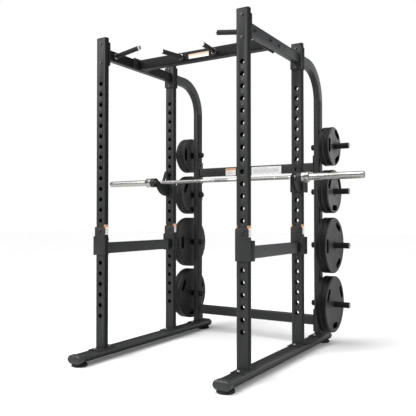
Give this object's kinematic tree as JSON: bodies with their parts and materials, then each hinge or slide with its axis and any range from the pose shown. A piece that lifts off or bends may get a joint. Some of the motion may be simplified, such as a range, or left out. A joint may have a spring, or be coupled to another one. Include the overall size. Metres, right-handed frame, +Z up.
{
  "type": "power cage",
  "caption": "Power cage with four uprights, pull-up beam and handles, safety arms, J-cups, a racked barbell and rear weight horns loaded with plates.",
  "frame": {"origin": "on the floor, at the middle of the bounding box", "axes": "+X to the cage's right seen from the open front, +Y to the rear, +Z up"},
  "size_m": [2.21, 1.776, 2.291],
  "materials": {
    "powder_coat": "charcoal fine-texture powder coat",
    "plate_iron": "satin dark enamel",
    "chrome": "hard chrome",
    "rubber": "matt black",
    "plastic": "matt black",
    "cap_grey": "satin grey"
  },
  "bodies": {
    "cage": {"base_rail_left": "powder_coat", "base_rail_right": "powder_coat", "cross_member_lower": "powder_coat", "cross_member_upper": "powder_coat", "foot_front_left": "rubber", "foot_front_right": "rubber", "foot_rear_left": "rubber", "foot_rear_right": "rubber", "grip_inner_left": "rubber", "grip_inner_right": "rubber", "grip_outer_left": "rubber", "grip_outer_right": "rubber", "pull_up_beam": "powder_coat", "rail_cap_front_left": "cap_grey", "rail_cap_front_right": "cap_grey", "rail_cap_rear_left": "cap_grey", "rail_cap_rear_right": "cap_grey", "safety_arm_left": "powder_coat", "safety_arm_right": "powder_coat", "storage_arch_left": "powder_coat", "storage_arch_right": "powder_coat", "top_rail_left": "powder_coat", "top_rail_right": "powder_coat", "upright_cap_front_left": "plastic", "upright_cap_front_right": "plastic", "upright_cap_rear_left": "plastic", "upright_cap_rear_right": "plastic", "upright_front_left": "powder_coat", "upright_front_right": "powder_coat", "upright_rear_left": "powder_coat", "upright_rear_right": "powder_coat"},
    "safety_pin_front_left": {"safety_pin_front_left": "chrome"},
    "safety_pin_rear_left": {"safety_pin_rear_left": "chrome"},
    "safety_pin_front_right": {"safety_pin_front_right": "chrome"},
    "safety_pin_rear_right": {"safety_pin_rear_right": "chrome"},
    "jcup_left": {"jcup_left": "powder_coat", "jcup_liner_left": "plastic"},
    "jcup_right": {"jcup_right": "powder_coat", "jcup_liner_right": "plastic"},
    "barbell": {"bar_shaft": "chrome"},
    "sleeve_left": {"bar_sleeve_left": "chrome"},
    "sleeve_right": {"bar_sleeve_right": "chrome"},
    "plate_left_1_inner": {"plate_left_1_inner": "plate_iron"},
    "plate_left_1_outer": {"plate_left_1_outer": "plate_iron"},
    "plate_left_2_inner": {"plate_left_2_inner": "plate_iron"},
    "plate_left_2_outer": {"plate_left_2_outer": "plate_iron"},
    "plate_left_3_inner": {"plate_left_3_inner": "plate_iron"},
    "plate_left_3_outer": {"plate_left_3_outer": "plate_iron"},
    "plate_left_4_inner": {"plate_left_4_inner": "plate_iron"},
    "plate_left_4_outer": {"plate_left_4_outer": "plate_iron"},
    "plate_right_1_inner": {"plate_right_1_inner": "plate_iron"},
    "plate_right_1_outer": {"plate_right_1_outer": "plate_iron"},
    "plate_right_2_inner": {"plate_right_2_inner": "plate_iron"},
    "plate_right_2_outer": {"plate_right_2_outer": "plate_iron"},
    "plate_right_3_inner": {"plate_right_3_inner": "plate_iron"},
    "plate_right_3_outer": {"plate_right_3_outer": "plate_iron"},
    "plate_right_4_inner": {"plate_right_4_inner": "plate_iron"},
    "plate_right_4_outer": {"plate_right_4_outer": "plate_iron"}
  },
  "joints": [
    {"name": "safety_pin_front_left_pull", "type": "slide", "parent": "cage", "child": "safety_pin_front_left", "axis": [0, -1, 0], "range_m": [0, 0.06]},
    {"name": "safety_pin_rear_left_pull", "type": "slide", "parent": "cage", "child": "safety_pin_rear_left", "axis": [0, -1, 0], "range_m": [0, 0.06]},
    {"name": "safety_pin_front_right_pull", "type": "slide", "parent": "cage", "child": "safety_pin_front_right", "axis": [0, -1, 0], "range_m": [0, 0.06]},
    {"name": "safety_pin_rear_right_pull", "type": "slide", "parent": "cage", "child": "safety_pin_rear_right", "axis": [0, -1, 0], "range_m": [0, 0.06]},
    {"name": "jcup_left_pull_out", "type": "slide", "parent": "cage", "child": "jcup_left", "axis": [0, -1, 0], "range_m": [0, 0.09]},
    {"name": "jcup_right_pull_out", "type": "slide", "parent": "cage", "child": "jcup_right", "axis": [0, -1, 0], "range_m": [0, 0.09]},
    {"name": "barbell_lift", "type": "slide", "parent": "jcup_left", "child": "barbell", "axis": [0, 0, 1], "range_m": [0, 0.6]},
    {"name": "sleeve_left_spin", "type": "hinge", "parent": "barbell", "child": "sleeve_left", "pos_m": [-0.85, 0.1105, 1.293], "axis": [1, 0, 0], "continuous": true},
    {"name": "sleeve_right_spin", "type": "hinge", "parent": "barbell", "child": "sleeve_right", "pos_m": [0.85, 0.1105, 1.293], "axis": [1, 0, 0], "continuous": true},
    {"name": "plate_left_1_inner_slide", "type": "slide", "parent": "cage", "child": "plate_left_1_inner", "axis": [-1, 0, 0], "range_m": [0, 0.22]},
    {"name": "plate_left_1_outer_slide", "type": "slide", "parent": "plate_left_1_inner", "child": "plate_left_1_outer", "axis": [-1, 0, 0], "range_m": [0, 0.18]},
    {"name": "plate_left_2_inner_slide", "type": "slide", "parent": "cage", "child": "plate_left_2_inner", "axis": [-1, 0, 0], "range_m": [0, 0.22]},
    {"name": "plate_left_2_outer_slide", "type": "slide", "parent": "plate_left_2_inner", "child": "plate_left_2_outer", "axis": [-1, 0, 0], "range_m": [0, 0.18]},
    {"name": "plate_left_3_inner_slide", "type": "slide", "parent": "cage", "child": "plate_left_3_inner", "axis": [-1, 0, 0], "range_m": [0, 0.22]},
    {"name": "plate_left_3_outer_slide", "type": "slide", "parent": "plate_left_3_inner", "child": "plate_left_3_outer", "axis": [-1, 0, 0], "range_m": [0, 0.18]},
    {"name": "plate_left_4_inner_slide", "type": "slide", "parent": "cage", "child": "plate_left_4_inner", "axis": [-1, 0, 0], "range_m": [0, 0.22]},
    {"name": "plate_left_4_outer_slide", "type": "slide", "parent": "plate_left_4_inner", "child": "plate_left_4_outer", "axis": [-1, 0, 0], "range_m": [0, 0.18]},
    {"name": "plate_right_1_inner_slide", "type": "slide", "parent": "cage", "child": "plate_right_1_inner", "axis": [1, 0, 0], "range_m": [0, 0.22]},
    {"name": "plate_right_1_outer_slide", "type": "slide", "parent": "plate_right_1_inner", "child": "plate_right_1_outer", "axis": [1, 0, 0], "range_m": [0, 0.18]},
    {"name": "plate_right_2_inner_slide", "type": "slide", "parent": "cage", "child": "plate_right_2_inner", "axis": [1, 0, 0], "range_m": [0, 0.22]},
    {"name": "plate_right_2_outer_slide", "type": "slide", "parent": "plate_right_2_inner", "child": "plate_right_2_outer", "axis": [1, 0, 0], "range_m": [0, 0.18]},
    {"name": "plate_right_3_inner_slide", "type": "slide", "parent": "cage", "child": "plate_right_3_inner", "axis": [1, 0, 0], "range_m": [0, 0.22]},
    {"name": "plate_right_3_outer_slide", "type": "slide", "parent": "plate_right_3_inner", "child": "plate_right_3_outer", "axis": [1, 0, 0], "range_m": [0, 0.18]},
    {"name": "plate_right_4_inner_slide", "type": "slide", "parent": "cage", "child": "plate_right_4_inner", "axis": [1, 0, 0], "range_m": [0, 0.22]},
    {"name": "plate_right_4_outer_slide", "type": "slide", "parent": "plate_right_4_inner", "child": "plate_right_4_outer", "axis": [1, 0, 0], "range_m": [0, 0.18]}
  ],
  "couplings": [
    {"joint": "jcup_right_pull_out", "follows": "jcup_left_pull_out", "ratio": 1}
  ]
}
